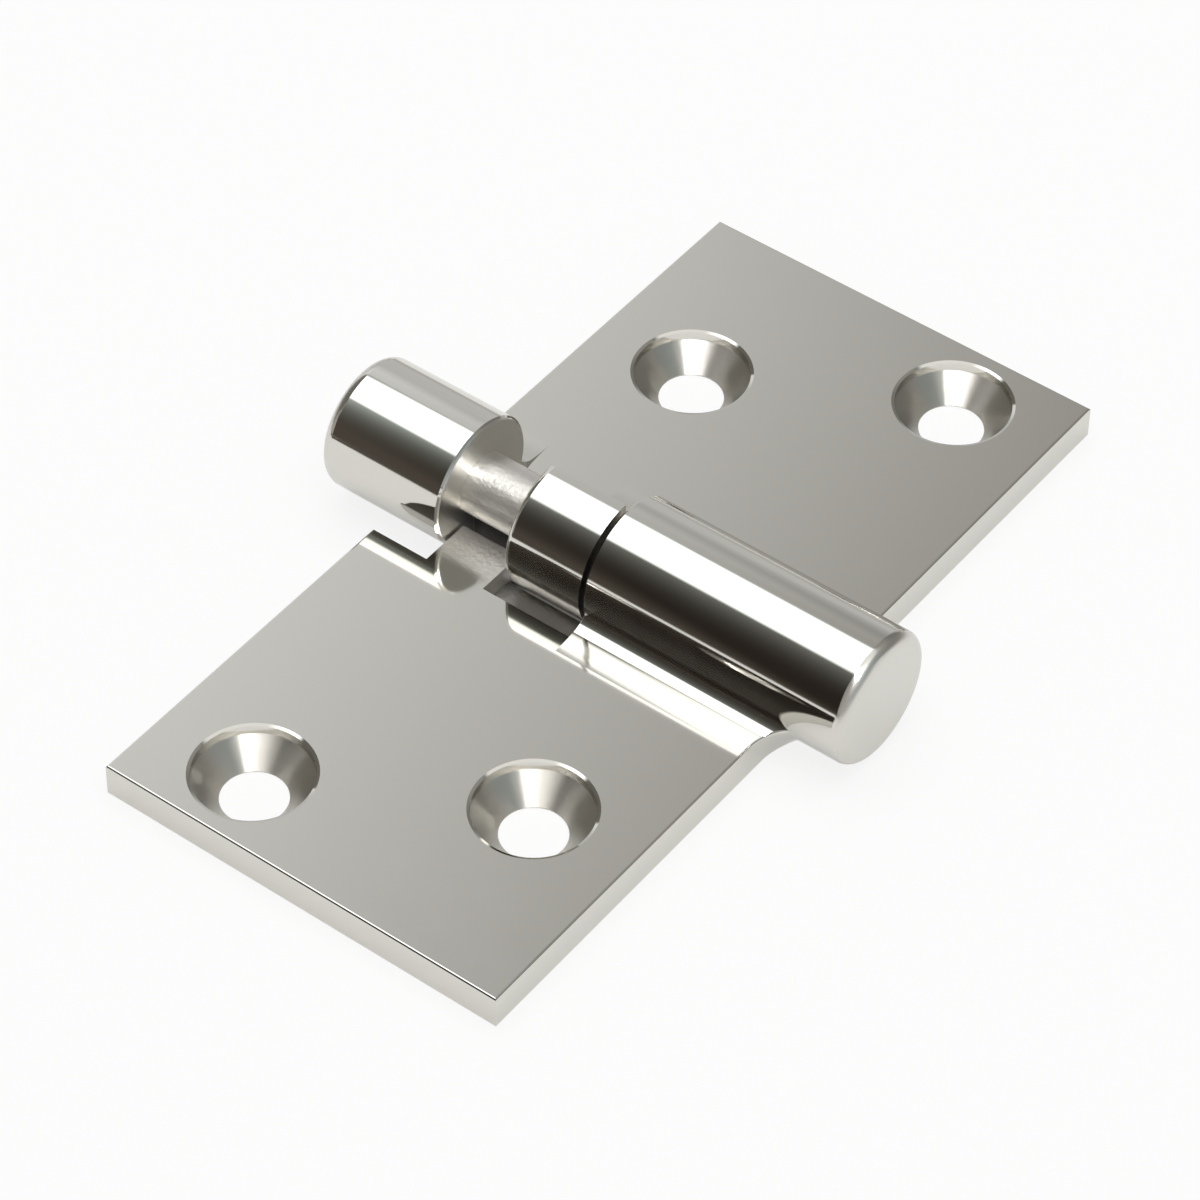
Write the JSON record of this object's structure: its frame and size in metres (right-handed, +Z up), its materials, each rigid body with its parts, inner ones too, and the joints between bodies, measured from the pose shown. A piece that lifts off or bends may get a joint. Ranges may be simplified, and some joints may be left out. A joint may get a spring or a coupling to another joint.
{
  "type": "lift-off hinge",
  "caption": "Cast steel lift-off hinge lying open: flat leaves with countersunk screw holes, a knuckle with an integral pin, and a blind barrel that slides off when the leaves are folded together.",
  "frame": {"origin": "on the mounting plane, under the middle of the hinge axis", "axes": "+X along the hinge axis toward the barrel's closed end, +Y toward the pin leaf's outer edge, +Z up from the mounting plane"},
  "size_m": [0.0516, 0.08, 0.0116],
  "materials": {
    "pin_leaf": "polished casting, as cast in the recesses",
    "barrel_leaf": "polished casting, as cast in the recesses"
  },
  "bodies": {
    "pin_leaf": {"pin_leaf": "pin_leaf"},
    "barrel_leaf": {"barrel_leaf": "barrel_leaf"}
  },
  "joints": [
    {"name": "leaf_swing", "type": "hinge", "parent": "pin_leaf", "child": "barrel_leaf", "pos_m": [0, 0, 0.0058], "axis": [-1, 0, 0], "range_deg": [0, 180]}
  ]
}
